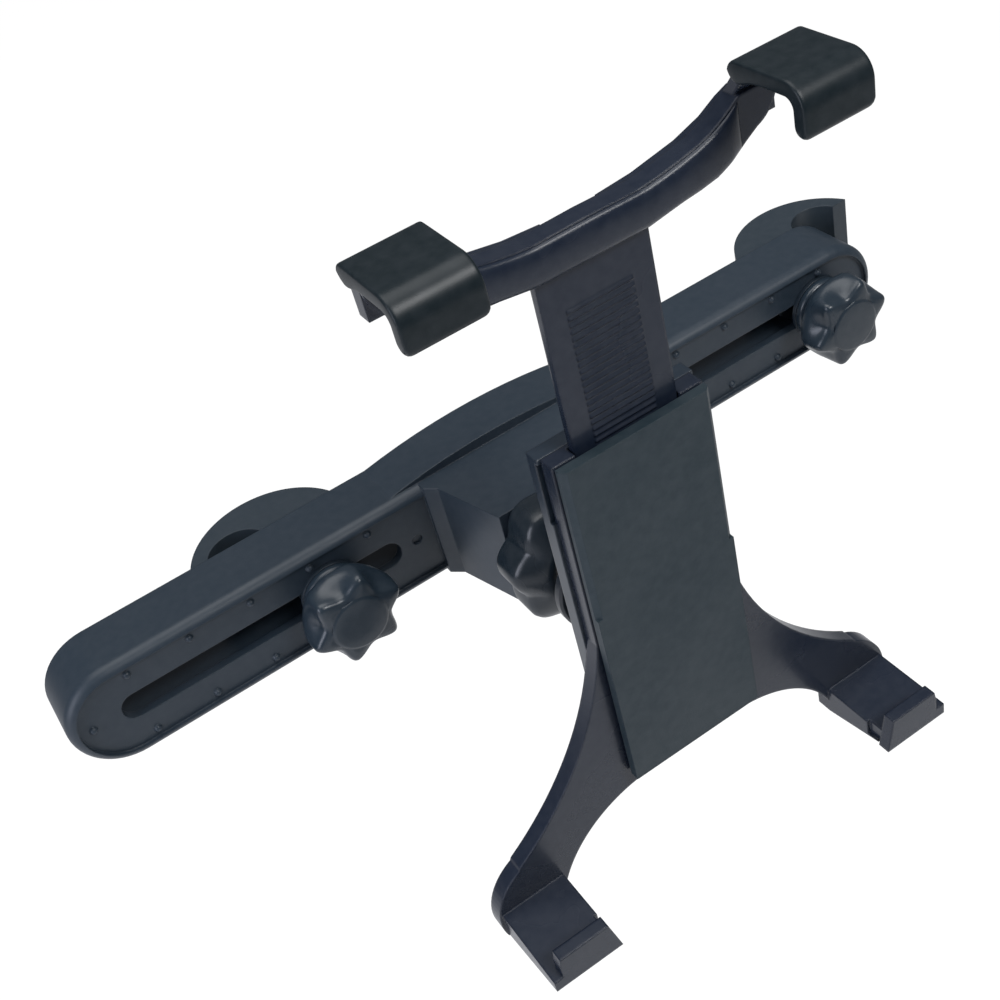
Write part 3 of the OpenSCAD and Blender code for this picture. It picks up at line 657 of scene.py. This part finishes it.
# %% [markdown]
# ## The pillow on the cross arm
#
# The cross arm's front isn't flat: it swells gently forward between its two edges, which is what catches
# the long highlight. Its lower and upper edges are known at a few places and joined by straight lines,
# smoothed a little. Between them the surface follows half a squashed ellipse, and its ends sink under the
# caps.

# %% Make the pillow
PILLOW_FRONT = -84.1
PILLOW_FOOT = 96.8
PILLOW_HALF_LENGTH = 34.0
PILLOW_SWELL = 1.3
PILLOW_FADE = 3.0
PILLOW_INSET = 0.25
PILLOW_SHARP = 50
PILLOW_RINGS = 121
PILLOW_ARC_POINTS = 22
PILLOW_ROUNDNESS = 0.75
PILLOW_FADE_POWER = 0.5
BELL_POINTS = 9
BELL_REACH = 2
EDGE_PLACES = (0, 12, 16, 20, 24, 28, 31.5, 34.0)
LOWER_EDGE = (0, 0, 0.6, 1.2, 1.6, 2.3, 3.9, 5.6)
UPPER_EDGE = (8.1, 8.0, 8.5, 9.2, 10.1, 11.4, 13.2, 14.9)


def smoothed_edge(x, heights):
    """The edge's height above the foot at each x, as straight lines that a short bell curve rounds off."""
    bell = np.exp(-np.linspace(-BELL_REACH, BELL_REACH, BELL_POINTS) ** 2)
    straight = np.interp(abs(x), EDGE_PLACES, heights)
    return np.convolve(np.pad(straight, BELL_POINTS // 2, mode="edge"), bell / bell.sum(), mode="valid")


def make_pillow():
    """Ring at x, in mm: z = middle + half cos(a), y = front - swell sin(a) ** roundness for the outer half
    of the ring, and a flat back just inside the arm for the other half."""
    x = np.linspace(-PILLOW_HALF_LENGTH, PILLOW_HALF_LENGTH, PILLOW_RINGS)
    low, high = smoothed_edge(x, LOWER_EDGE), smoothed_edge(x, UPPER_EDGE)
    fade = np.clip((PILLOW_HALF_LENGTH - abs(x)) / PILLOW_FADE, 0, 1) ** PILLOW_FADE_POWER
    swell = PILLOW_SWELL * fade
    middle, half = PILLOW_FOOT + (low + high) / 2, (high - low) / 2 - PILLOW_INSET
    a = np.linspace(0, math.pi, PILLOW_ARC_POINTS)
    z_front = middle[:, None] + half[:, None] * np.cos(a)
    y_front = PILLOW_FRONT - swell[:, None] * np.sin(a) ** PILLOW_ROUNDNESS
    z_back = middle[:, None] - half[:, None] * np.cos(a[1:-1])
    y_back = np.full_like(z_back, PILLOW_FRONT + PILLOW_INSET)
    ring_y, ring_z = np.concatenate([y_front, y_back], 1), np.concatenate([z_front, z_back], 1)
    rows = np.stack([np.broadcast_to(x[:, None], ring_z.shape), ring_y, ring_z], -1) * MM
    return skin_from_grid("arm_pillow", rows, "sliding_arm", PILLOW_SHARP, extra=True)


make_pillow()
